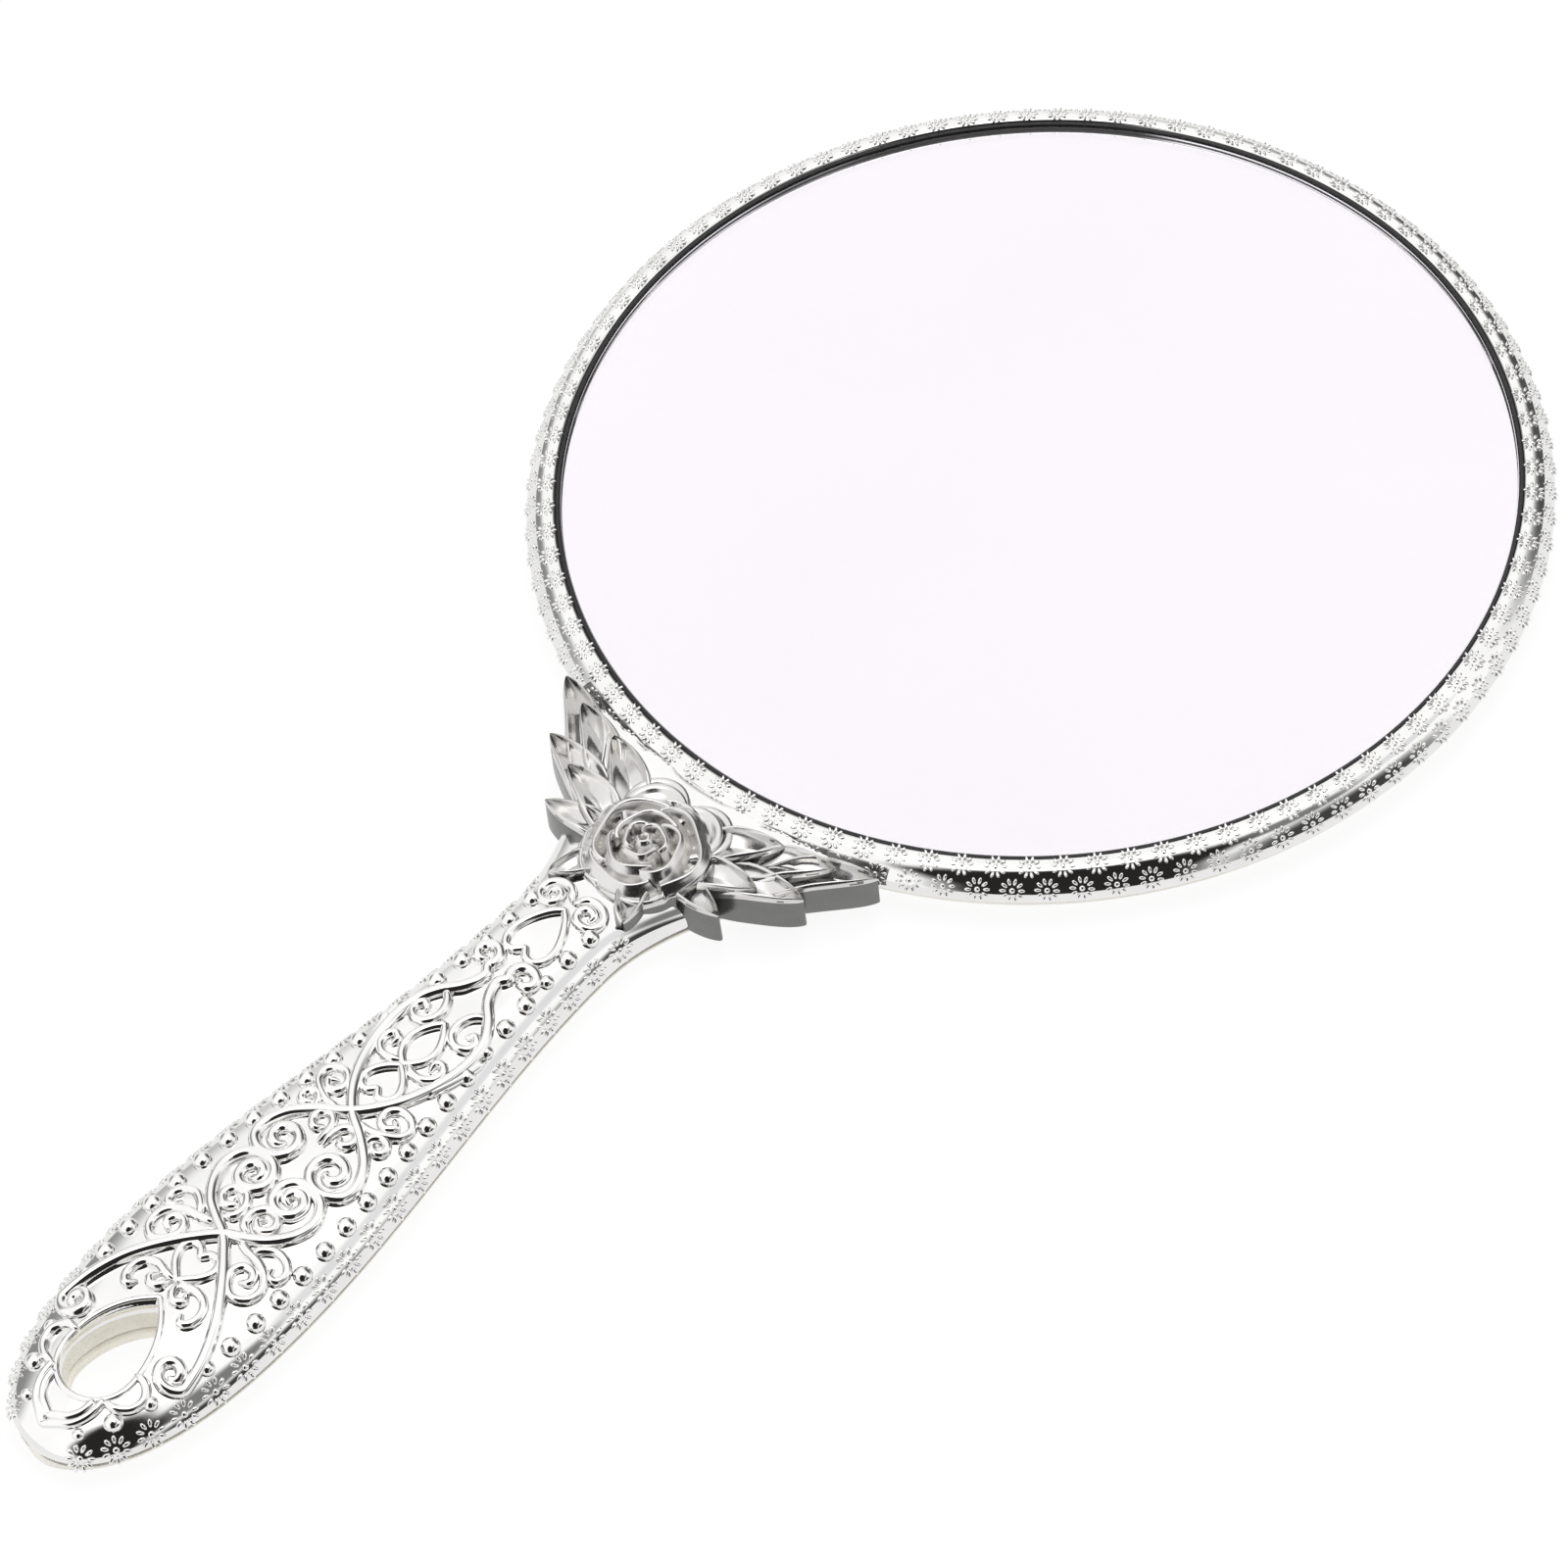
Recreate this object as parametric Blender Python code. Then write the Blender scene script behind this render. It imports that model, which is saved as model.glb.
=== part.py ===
"""Hand mirror: a round glass in a plated shell, a flared handle with a hanging hole, and a rose ornament at the neck.

It lies on its back: +Z up, the head toward +Y, the origin at the bottom centre of the bounding box.
"""
import math

import bmesh
import bpy
from mathutils import Vector

MM = 0.001

# Plan. V is the distance from the head's centre toward the handle's end.
HEAD_RADIUS = 70.3
HANDLE_END = 193.0
HEAD_Y = (HANDLE_END - HEAD_RADIUS) / 2
NECK_V = 97.0
NECK_HALF = 8.05
FLARE_V = 66.0
FLARE_GROW = 16.5
WIDE_V = 162.0
WIDE_HALF = 14.35
END_POWER = 2.3

# Heights.
PART_LOW = 2.6
PART_HIGH = 2.9
EDGE_Z = 5.2
LIP_Z = 7.4
CROWN_NECK = 7.1
CROWN_HANDLE = 8.7
WALL = 1.5
BACK_WALL = 1.4

# Glass and what lies under it.
LIP_RADIUS = 66.0
TRAY_TOP = 3.0
TRAY_LOW = 2.0
GLASS_RADIUS = 64.9
GLASS_LOW = 4.6
GLASS_TOP = 6.4
COAT_LOW = 4.1
COAT_TOP = 4.3
PAD_LOW = 3.3
PAD_TOP = 3.8
GASKET_IN = 65.2
GASKET_OUT = 65.7
GASKET_TOP = 6.2

# Hanging hole: two large flank arcs above a half circle.
HOLE_TIP_V = 170.0
HOLE_ROUND_V = 180.1
HOLE_RADIUS = 5.1

# Beads along the handle.
BEAD_FIRST_V = 96.4
BEAD_PITCH = 4.24
BEAD_COUNT = 18
BEAD_RADIUS = 1.15

# Rose and leaves.
ROSE_V = 80.6
ROSE_RADIUS = 8.2
ORNAMENT_LOW = 3.4
CLEAR = 0.32

for old in list(bpy.data.objects):
    bpy.data.objects.remove(old, do_unlink=True)

parts = bpy.data.collections.new("hand_mirror")
cutters = bpy.data.collections.new("cutters")
for holder in (parts, cutters):
    bpy.context.scene.collection.children.link(holder)


def smooth(t):
    """Ease from 0 to 1."""
    t = min(1.0, max(0.0, t))
    return t * t * (3 - 2 * t)


def half_width(v):
    """Half the width of the handle at a distance v from the head's centre."""
    if v < NECK_V:
        return NECK_HALF + FLARE_GROW * ((NECK_V - v) / (NECK_V - FLARE_V)) ** 1.84
    if v < WIDE_V:
        return NECK_HALF + (WIDE_HALF - NECK_HALF) * smooth((v - NECK_V) / (WIDE_V - NECK_V))
    t = min(1.0, (v - WIDE_V) / (HANDLE_END - WIDE_V))
    return WIDE_HALF * (1 - t ** END_POWER) ** (1 / END_POWER)


def crown(v):
    """Height of the handle's top line."""
    rise = CROWN_NECK + (CROWN_HANDLE - CROWN_NECK) * smooth((v - 74) / 24)
    t = max(0.0, (v - HANDLE_END + 9) / 9)
    return EDGE_Z + (rise - EDGE_Z) * math.sqrt(max(0.0, 1 - t ** 2.4))


def mesh_object(name, bm, holder):
    """Turn a bmesh into an object with its faces outward."""
    bmesh.ops.recalc_face_normals(bm, faces=bm.faces)
    data = bpy.data.meshes.new(name)
    bm.to_mesh(data)
    bm.free()
    item = bpy.data.objects.new(name, data)
    holder.objects.link(item)
    if holder is cutters:
        item.hide_render = True
        item.display_type = "WIRE"
    return item


def loft(name, loops, holder):
    """Closed body through loops of points that all have the same count."""
    bm = bmesh.new()
    rows = [[bm.verts.new((x * MM, y * MM, z * MM)) for x, y, z in loop] for loop in loops]
    count = len(rows[0])
    for low, high in zip(rows, rows[1:]):
        for i in range(count):
            j = (i + 1) % count
            bm.faces.new((low[i], low[j], high[j], high[i]))
    bm.faces.new(rows[0])
    bm.faces.new(rows[-1])
    return mesh_object(name, bm, holder)


def revolve(name, profile, holder, steps=144, centre_y=HEAD_Y, lobes=0.0):
    """Closed body from a profile (radius, height) turned about a vertical line; radius 0 makes a pole."""
    bm = bmesh.new()
    rows = []
    for radius, z in profile:
        if radius == 0:
            rows.append([bm.verts.new((0, centre_y * MM, z * MM))])
            continue
        row = []
        for i in range(steps):
            a = 2 * math.pi * i / steps
            r = radius * (1 + lobes * math.cos(5 * a + 9 * radius / ROSE_RADIUS))
            row.append(bm.verts.new((r * math.cos(a) * MM, (centre_y + r * math.sin(a)) * MM, z * MM)))
        rows.append(row)
    pairs = list(zip(rows, rows[1:]))
    if len(rows[0]) > 1 and len(rows[-1]) > 1:
        pairs.append((rows[-1], rows[0]))
    for low, high in pairs:
        for i in range(steps):
            j = (i + 1) % steps
            if len(low) == 1:
                bm.faces.new((low[0], high[j], high[i]))
            elif len(high) == 1:
                bm.faces.new((low[i], low[j], high[0]))
            else:
                bm.faces.new((low[i], low[j], high[j], high[i]))
    return mesh_object(name, bm, holder)


def boolean(item, other, how):
    """Add one exact Boolean."""
    step = item.modifiers.new(how.lower(), "BOOLEAN")
    step.operation = how
    step.solver = "EXACT"
    step.object = other


def bake(item):
    """Replace an object's mesh by what its modifiers make, and keep its largest body."""
    graph = bpy.context.evaluated_depsgraph_get()
    data = bpy.data.meshes.new_from_object(item.evaluated_get(graph))
    item.modifiers.clear()
    item.data = data
    bm = bmesh.new()
    bm.from_mesh(data)
    bmesh.ops.remove_doubles(bm, verts=bm.verts, dist=1e-6)
    bmesh.ops.dissolve_degenerate(bm, dist=1e-6, edges=bm.edges)
    left = set(bm.verts)
    bodies = []
    while left:
        stack = [left.pop()]
        body = set(stack)
        while stack:
            for edge in stack.pop().link_edges:
                for vert in edge.verts:
                    if vert not in body:
                        body.add(vert)
                        left.discard(vert)
                        stack.append(vert)
        bodies.append(body)
    bodies.sort(key=len, reverse=True)
    for body in bodies[1:]:
        bmesh.ops.delete(bm, geom=list(body), context="VERTS")
    bmesh.ops.recalc_face_normals(bm, faces=bm.faces)
    bm.to_mesh(data)
    bm.free()


def paint(item, colour, metallic, roughness):
    """Give an object its own Principled material."""
    mat = bpy.data.materials.new(item.name)
    mat.use_nodes = True
    shader = mat.node_tree.nodes["Principled BSDF"]
    shader.inputs["Base Color"].default_value = (*colour, 1)
    shader.inputs["Metallic"].default_value = metallic
    shader.inputs["Roughness"].default_value = roughness
    item.data.materials.clear()
    item.data.materials.append(mat)


def stations(start, stop, count):
    """Stations that crowd together toward the handle's end."""
    return [start + (stop - start) * math.sin(0.5 * math.pi * i / (count - 1)) ** 0.9 for i in range(count)]


def upper_loop(v, inset=0.0, drop=0.0, low=PART_HIGH + 0.04, arc=18):
    """Cross-section of the face of the handle: an elliptical crown over an edge that tucks under."""
    w = max(0.4, half_width(v) - inset)
    y = HEAD_Y - v
    top = max(EDGE_Z + 0.3, crown(v) - drop)
    tuck = min(1.1, 0.3 * w)
    points = [(w - tuck, y, low), (w - 0.3 * tuck, y, low + 0.45 * (EDGE_Z - low))]
    for i in range(arc + 1):
        a = math.pi * i / arc
        points.append((w * math.cos(a), y, EDGE_Z + (top - EDGE_Z) * math.sin(a)))
    points += [(-w + 0.3 * tuck, y, low + 0.45 * (EDGE_Z - low)), (-w + tuck, y, low)]
    return points


def lower_loop(v, inset=0.0, low=0.15, high=PART_LOW - 0.03):
    """Cross-section of the back of the handle: a flat base with rounded sides."""
    w = max(0.5, half_width(v) - min(1.25, 0.3 * half_width(v)) - inset)
    y = HEAD_Y - v
    under = min(3.8, 0.45 * w)
    points = []
    for side in (1, -1):
        part = []
        for i in range(6):
            a = 0.5 * math.pi * i / 5
            part.append((side * (w - under + under * math.cos(a)), y, high - (high - low) * math.sin(a)))
        points += part if side == 1 else part[::-1]
    return points


def hole_outline(offset=0.0):
    """Teardrop outline, its point toward the head."""
    reach = HOLE_ROUND_V - HOLE_TIP_V
    flank = (HOLE_RADIUS ** 2 + reach ** 2) / (2 * HOLE_RADIUS)
    cx = HOLE_RADIUS - flank
    big = flank + offset
    top = math.acos(-cx / big)
    right = []
    for i in range(9):
        a = top * (1 - i / 8)
        right.append((cx + big * math.cos(a), HOLE_ROUND_V - big * math.sin(a)))
    r = HOLE_RADIUS + offset
    bottom = [(r * math.cos(math.pi * i / 12), HOLE_ROUND_V + r * math.sin(math.pi * i / 12)) for i in range(1, 12)]
    left = [(-x, v) for x, v in reversed(right[1:])]
    return right + bottom + left


def hole_prism(name, offset, low, high):
    """Upright prism on the hole's outline."""
    outline = [(x, HEAD_Y - v) for x, v in hole_outline(offset)]
    return loft(name, [[(x, y, z) for x, y in outline] for z in (low, high)], cutters)


def place_on_crown(x, v):
    """Height of the handle's face at a point."""
    return EDGE_Z + (crown(v) - EDGE_Z) * math.sqrt(max(0.0, 1 - (x / half_width(v)) ** 2))


# Face of the mirror: plated rim with a tray for the glass, and the crowned face of the handle.
RIM_OUTSIDE = [(69.3, 2.9), (70.0, 3.7), (70.3, 4.8), (70.1, 5.8), (69.4, 6.8), (68.4, 7.45), (67.3, 7.7), (66.3, 7.6), (65.7, 7.2)]
face_profile = [(0, TRAY_LOW), (67.75, TRAY_LOW), (67.75, PART_HIGH)] + RIM_OUTSIDE + [(0, 7.2)]
front_shell = revolve("front_shell", face_profile, parts)
face_handle = loft("face_handle", [upper_loop(v) for v in stations(63, HANDLE_END - 0.1, 34)], cutters)
hollow = loft("face_hollow", [upper_loop(v, WALL, WALL, 1.0) for v in stations(74, HANDLE_END - 2.2, 28)], cutters)
boolean(hollow, hole_prism("face_hole_wall", 1.3, -5, 20), "DIFFERENCE")
bake(hollow)
recess = revolve("recess", [(0, TRAY_TOP), (LIP_RADIUS, TRAY_TOP), (LIP_RADIUS, 20), (0, 20)], cutters)
boolean(front_shell, face_handle, "UNION")
boolean(front_shell, recess, "DIFFERENCE")
bake(front_shell)
boolean(front_shell, hollow, "DIFFERENCE")
bake(front_shell)
boolean(front_shell, hole_prism("hole_front", 0, -5, 20), "DIFFERENCE")
bake(front_shell)

# Beads stand in a row inside each edge of the handle.
bead_bm = bmesh.new()
for side in (1, -1):
    for i in range(BEAD_COUNT):
        bead_v = BEAD_FIRST_V + BEAD_PITCH * i
        size = BEAD_RADIUS * (0.75 if i in (2, 5) else 1)
        bead_x = side * (half_width(bead_v) - 3.1) * (1 + 0.02 * math.sin(bead_v))
        spot = Vector((bead_x, HEAD_Y - bead_v, place_on_crown(bead_x, bead_v))) * MM
        made = bmesh.ops.create_icosphere(bead_bm, subdivisions=1, radius=size * MM)
        bmesh.ops.translate(bead_bm, verts=made["verts"], vec=spot)
beads = mesh_object("beads", bead_bm, cutters)
boolean(front_shell, beads, "UNION")
bake(front_shell)

# Back of the mirror: a shallow dish and the back of the handle.
BACK_OUTSIDE = [(0, 0), (64.6, 0), (66.2, 0.35), (67.6, 1.0), (68.6, 1.75), (69.15, 2.6)]
back_profile = BACK_OUTSIDE + [(0, PART_LOW)]
back_shell = revolve("back_shell", back_profile, parts)
back_handle = loft("back_handle", [lower_loop(v) for v in stations(63, HANDLE_END - 0.3, 34)], cutters)
back_hollow = loft("back_hollow", [lower_loop(v, WALL, BACK_WALL + 0.1, 6) for v in stations(73, HANDLE_END - 2.4, 28)], cutters)
dish = revolve("dish", [(0, BACK_WALL), (68.05, BACK_WALL), (68.05, 20), (0, 20)], cutters)
boolean(back_hollow, hole_prism("back_hole_wall", 1.3, -5, 20), "DIFFERENCE")
bake(back_hollow)
boolean(back_shell, back_handle, "UNION")
boolean(back_shell, dish, "DIFFERENCE")
bake(back_shell)
boolean(back_shell, back_hollow, "DIFFERENCE")
boolean(back_shell, hole_prism("hole_back", 0, -5, 20), "DIFFERENCE")
bake(back_shell)

# Glass, its silver coat, the dark seal round its edge and the foam pads under it.
glass = revolve("mirror_glass", [(0, GLASS_LOW), (GLASS_RADIUS, GLASS_LOW), (GLASS_RADIUS, 6.2), (GLASS_RADIUS - 0.2, GLASS_TOP), (0, GLASS_TOP)], parts)
coat = revolve("mirror_coat", [(0, COAT_LOW), (GLASS_RADIUS, COAT_LOW), (GLASS_RADIUS, COAT_TOP), (0, COAT_TOP)], parts)
seal = revolve("edge_seal", [(GASKET_IN, PAD_LOW), (GASKET_OUT, PAD_LOW), (GASKET_OUT, GASKET_TOP), (GASKET_IN, GASKET_TOP)], parts)
pads = []
for k in range(4):
    turn = math.radians(45 + 90 * k)
    cx = 38 * math.cos(turn)
    cy = HEAD_Y + 38 * math.sin(turn)
    corners = []
    for i in range(24):
        a = 2 * math.pi * i / 24
        corners.append((cx + 12 * math.cos(a), cy + 12 * math.sin(a)))
    pads.append(loft(f"foam_pad_{k + 1}", [[(x, y, z) for x, y in corners] for z in (PAD_LOW, PAD_TOP)], parts))


def leaf(name, base, tip, half, top, rise, holder):
    """Pointed leaf: upright sides, an edge that rises toward the tip and a ridge down the middle."""
    bm = bmesh.new()
    ax, av = base
    tx, tv = tip
    length = math.hypot(tx - ax, tv - av)
    ux = (tx - ax) / length
    uv = (tv - av) / length
    shape = []
    for i in range(11):
        s = i / 10
        swell = half * math.sin(math.pi * s ** 0.8) ** 0.8 + 0.25 * half * (1 - s)
        shape.append((s, swell))
    outline = [(s, w) for s, w in shape] + [(s, -w) for s, w in reversed(shape[:-1])]
    low = []
    high = []
    for s, w in outline:
        x = ax + ux * s * length - uv * w
        y = HEAD_Y - (av + uv * s * length + ux * w)
        low.append(bm.verts.new((x * MM, y * MM, ORNAMENT_LOW * MM)))
        high.append(bm.verts.new((x * MM, y * MM, (top - 0.5 * s) * MM)))
    mid = Vector(((ax + ux * 0.45 * length) * MM, (HEAD_Y - av - uv * 0.45 * length) * MM, (top + rise) * MM))
    peak = bm.verts.new(mid)
    count = len(low)
    for i in range(count):
        j = (i + 1) % count
        bm.faces.new((low[i], low[j], high[j], high[i]))
        bm.faces.new((high[i], high[j], peak))
    bm.faces.new(low)
    return mesh_object(name, bm, holder)


# Rose: nested whorls of petals over a solid heart, with leaves to both sides and sepals toward the handle.
BLOOM = [(0, ORNAMENT_LOW), (8.0, ORNAMENT_LOW), (8.2, 9.4), (7.7, 10.2), (6.9, 10.1), (6.4, 9.5), (5.9, 10.7), (5.3, 11.2)]
BLOOM += [(4.6, 11.0), (4.2, 10.3), (3.7, 11.4), (3.1, 11.8), (2.5, 11.5), (2.1, 10.9), (1.5, 11.7), (0.8, 11.9), (0, 11.6)]
ornament = revolve("rose_ornament", BLOOM, parts, steps=40, centre_y=HEAD_Y - ROSE_V, lobes=0.045)
LEAVES = [
    ((9.0, 75.2), (27.2, 66.9), 2.6, 8.7, 0.5),
    ((8.0, 76.0), (22.4, 70.3), 2.6, 9.0, 0.5),
    ((4.5, 77.0), (15.2, 71.4), 2.6, 9.3, 0.5),
    ((6.0, 79.5), (23.0, 75.4), 3.0, 8.8, 0.5),
    ((5.0, 80.5), (16.6, 78.2), 2.7, 9.2, 0.5),
    ((5.0, 81.5), (16.3, 84.2), 2.5, 8.9, 0.5),
    ((1.5, 76.5), (4.6, 70.6), 3.3, 9.2, 0.3),
    ((5.2, 84.0), (7.4, 92.6), 2.4, 9.3, 0.3),
    ((0.0, 84.0), (2.6, 90.4), 3.0, 9.4, 0.2),
]
for number, (base, tip, half, top, rise) in enumerate(LEAVES):
    for side in (1, -1):
        name = f"leaf_{number}_{'right' if side == 1 else 'left'}"
        piece = leaf(name, (side * base[0], base[1]), (side * tip[0], tip[1]), half, top, rise, cutters)
        boolean(ornament, piece, "UNION")
clear_rim = [(LIP_RADIUS - 3, 1.0)] + [(r + CLEAR, z) for r, z in RIM_OUTSIDE[:5]] + [(r, z + CLEAR) for r, z in RIM_OUTSIDE[5:]]
clear_ring = revolve("clear_ring", clear_rim + [(LIP_RADIUS - 3, LIP_Z + CLEAR)], cutters)
clear_neck = loft("clear_neck", [upper_loop(v, -CLEAR, -CLEAR, 1.0) for v in stations(62, 120, 24)], cutters)
boolean(ornament, clear_ring, "DIFFERENCE")
boolean(ornament, clear_neck, "DIFFERENCE")
bake(ornament)

paint(front_shell, (0.86, 0.87, 0.88), 1.0, 0.08)
paint(back_shell, (0.93, 0.91, 0.83), 0.0, 0.3)
paint(glass, (0.90, 0.91, 0.95), 0.0, 0.03)
paint(coat, (0.80, 0.81, 0.84), 1.0, 0.1)
paint(seal, (0.02, 0.02, 0.02), 0.0, 0.5)
for pad in pads:
    paint(pad, (0.88, 0.88, 0.86), 0.0, 0.9)
paint(ornament, (0.66, 0.65, 0.62), 1.0, 0.34)
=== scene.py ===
# %% [markdown]
# # Hand mirror
#
# This script dresses the CAD model of a round hand mirror for a picture: plated shells with raised
# flowers, beads and scrollwork, a satin rose at the neck, and a silvered glass. Every length below is in
# millimetres and is scaled once, when a mesh is made. A point on the handle is named by its distance
# across, x, and its distance from the centre of the head, v.

# %% Start
import math

import bmesh
import bpy
import numpy as np
from mathutils import Matrix, Vector


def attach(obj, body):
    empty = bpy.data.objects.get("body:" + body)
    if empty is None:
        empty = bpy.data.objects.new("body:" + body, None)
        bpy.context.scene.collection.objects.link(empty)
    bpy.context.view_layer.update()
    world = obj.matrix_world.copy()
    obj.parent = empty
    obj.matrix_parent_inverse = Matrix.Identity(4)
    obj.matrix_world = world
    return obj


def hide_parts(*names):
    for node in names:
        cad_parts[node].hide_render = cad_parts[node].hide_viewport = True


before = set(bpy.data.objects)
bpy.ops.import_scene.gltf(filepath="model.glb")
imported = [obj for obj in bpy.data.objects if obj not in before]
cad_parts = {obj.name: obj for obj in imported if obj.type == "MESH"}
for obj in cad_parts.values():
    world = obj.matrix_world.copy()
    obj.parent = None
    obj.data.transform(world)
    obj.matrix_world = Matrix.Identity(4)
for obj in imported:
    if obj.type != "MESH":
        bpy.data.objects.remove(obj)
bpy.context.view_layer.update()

MM = 0.001
HEAD_Y = 61.35

# %% [markdown]
# ## The mirror's shape as formulas
#
# The handle is a smooth neck that grows to a round end and flares out toward the head. Its face is a
# squared ellipse in cross-section, so one function gives the height of the face anywhere, and everything
# raised on it is set on that height. Under the rim the face sinks out of the way.

# %% Shape of the handle
NECK_V = 97.0
NECK_HALF = 8.3
WIDE_V = 162.0
WIDE_HALF = 14.4
HANDLE_END = 192.5
HANDLE_START = 66.0
FLARE = 16.5
END_POWER = 2.3
EDGE_Z = 3.5
CROWN_AT_HEAD = 7.1
CROWN_RISE = 1.6
CROWN_CLOSING = 22.0
SINK_R = 67.4
SINK_WIDTH = 1.6
WING_HALF = 25.5
WING_FADE = 6.0


def ease(t):
    """A smooth step from 0 to 1."""
    t = min(1.0, max(0.0, t))
    return t * t * (3 - 2 * t)


def half_width(v):
    if v < NECK_V:
        return NECK_HALF + FLARE * ((NECK_V - v) / (NECK_V - HANDLE_START)) ** 1.84
    if v < WIDE_V:
        return NECK_HALF + (WIDE_HALF - NECK_HALF) * ease((v - NECK_V) / (WIDE_V - NECK_V))
    t = min(1.0, (v - WIDE_V) / (HANDLE_END - WIDE_V))
    return WIDE_HALF * (1 - t**END_POWER) ** (1 / END_POWER)


def crown(v):
    """Height of the face along the middle line: it rises from the head and closes at the end."""
    top = CROWN_AT_HEAD + CROWN_RISE * ease((v - 74) / 24)
    t = max(0.0, (v - HANDLE_END + CROWN_CLOSING) / CROWN_CLOSING)
    return EDGE_Z + (top - EDGE_Z) * math.sqrt(max(0.0, 1 - t**2.4))


def face_power(v):
    """How square the face's cross-section is: flat-topped on the grip, elliptical at the end."""
    return 2.5 - 0.65 * ease((v - 160) / 18)


def face_z(x, v):
    """Height of the face at (x, v)."""
    share = min(1.0, abs(x) / max(half_width(v), 0.01))
    power = face_power(v)
    clear_of_rim = ease((math.hypot(x, v) - SINK_R) / SINK_WIDTH) * ease((WING_HALF - abs(x)) / WING_FADE)
    return EDGE_Z + (crown(v) - EDGE_Z) * (1 - share**power) ** (1 / power) * clear_of_rim


def face_point(x, v):
    return Vector((x, HEAD_Y - v, face_z(x, v)))


def face_normal(x, v, step=0.05):
    across = face_point(x + step, v) - face_point(x - step, v)
    along = face_point(x, v - step) - face_point(x, v + step)
    return across.cross(along).normalized()


print("half width at the neck and the widest point", half_width(NECK_V), half_width(WIDE_V))

# %% [markdown]
# ## Mesh helpers
#
# Four makers cover the object: a body from stacked loops, a turned body, a smooth curve through a few
# points, and a ridge that runs along such a curve on the handle's face.

# %% Mesh helpers
def mesh_object(name, bm, angle=40):
    """Make an object from a bmesh drawn in millimetres."""
    bmesh.ops.recalc_face_normals(bm, faces=bm.faces)
    bmesh.ops.scale(bm, vec=(MM, MM, MM), verts=bm.verts)
    data = bpy.data.meshes.new(name)
    bm.to_mesh(data)
    bm.free()
    data.shade_smooth()
    data.set_sharp_from_angle(angle=math.radians(angle))
    item = bpy.data.objects.new(name, data)
    bpy.context.scene.collection.objects.link(item)
    return item


def add_loft(bm, loops, cap_start=True, cap_end=True):
    """Add a body through closed loops of points with equal counts."""
    rows = [[bm.verts.new(p) for p in loop] for loop in loops]
    count = len(rows[0])
    for low, high in zip(rows, rows[1:]):
        for i in range(count):
            j = (i + 1) % count
            bm.faces.new((low[i], low[j], high[j], high[i]))
    if cap_start:
        bm.faces.new(rows[0])
    if cap_end:
        bm.faces.new(rows[-1])
    return rows


def add_turned(bm, profile, steps, centre=(0.0, HEAD_Y)):
    """Add a body turned about a vertical line; a radius of 0 is a pole."""
    rows = []
    for radius, z in profile:
        if radius == 0:
            rows.append([bm.verts.new((centre[0], centre[1], z))])
            continue
        angles = [2 * math.pi * i / steps for i in range(steps)]
        row = [(centre[0] + radius * math.cos(a), centre[1] + radius * math.sin(a), z) for a in angles]
        rows.append([bm.verts.new(p) for p in row])
    pairs = list(zip(rows, rows[1:]))
    if len(rows[0]) > 1:
        pairs.append((rows[-1], rows[0]))
    for low, high in pairs:
        for i in range(steps):
            j = (i + 1) % steps
            if len(low) == 1:
                bm.faces.new((low[0], high[j], high[i]))
            elif len(high) == 1:
                bm.faces.new((low[i], low[j], high[0]))
            else:
                bm.faces.new((low[i], low[j], high[j], high[i]))


def curve_through(points, step=0.3, closed=False):
    """Evenly spaced points on a smooth curve (a centripetal spline) through the given ones."""
    pts = [np.array(p, float) for p in points]
    if closed:
        pts = [pts[-1]] + pts + pts[:2]
    else:
        pts = [2 * pts[0] - pts[1]] + pts + [2 * pts[-1] - pts[-2]]
    fine = []
    for a, b, c, d in zip(pts, pts[1:], pts[2:], pts[3:]):
        ka = max(1e-6, np.linalg.norm(b - a)) ** 0.5
        kb = max(1e-6, np.linalg.norm(c - b)) ** 0.5
        kc = max(1e-6, np.linalg.norm(d - c)) ** 0.5
        m1 = kb * ((b - a) / ka - (c - a) / (ka + kb) + (c - b) / kb)
        m2 = kb * ((c - b) / kb - (d - b) / (kb + kc) + (d - c) / kc)
        for s in np.linspace(0, 1, 16, endpoint=False):
            q = (2 * s**3 - 3 * s**2 + 1) * b + (s**3 - 2 * s**2 + s) * m1
            fine.append(q + (3 * s**2 - 2 * s**3) * c + (s**3 - s**2) * m2)
    fine.append(pts[-2])
    fine = np.array(fine)
    lengths = np.r_[0, np.cumsum(np.linalg.norm(np.diff(fine, axis=0), axis=1))]
    count = max(4, int(round(lengths[-1] / step)))
    where = np.linspace(0, lengths[-1], count + 1)
    out = np.array([np.interp(where, lengths, fine[:, k]) for k in range(fine.shape[1])]).T
    return out[:-1] if closed else out


RIDGE_SIDES = 9
RIDGE_STEP = 0.28
RIDGE_ROOT = 0.7


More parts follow.
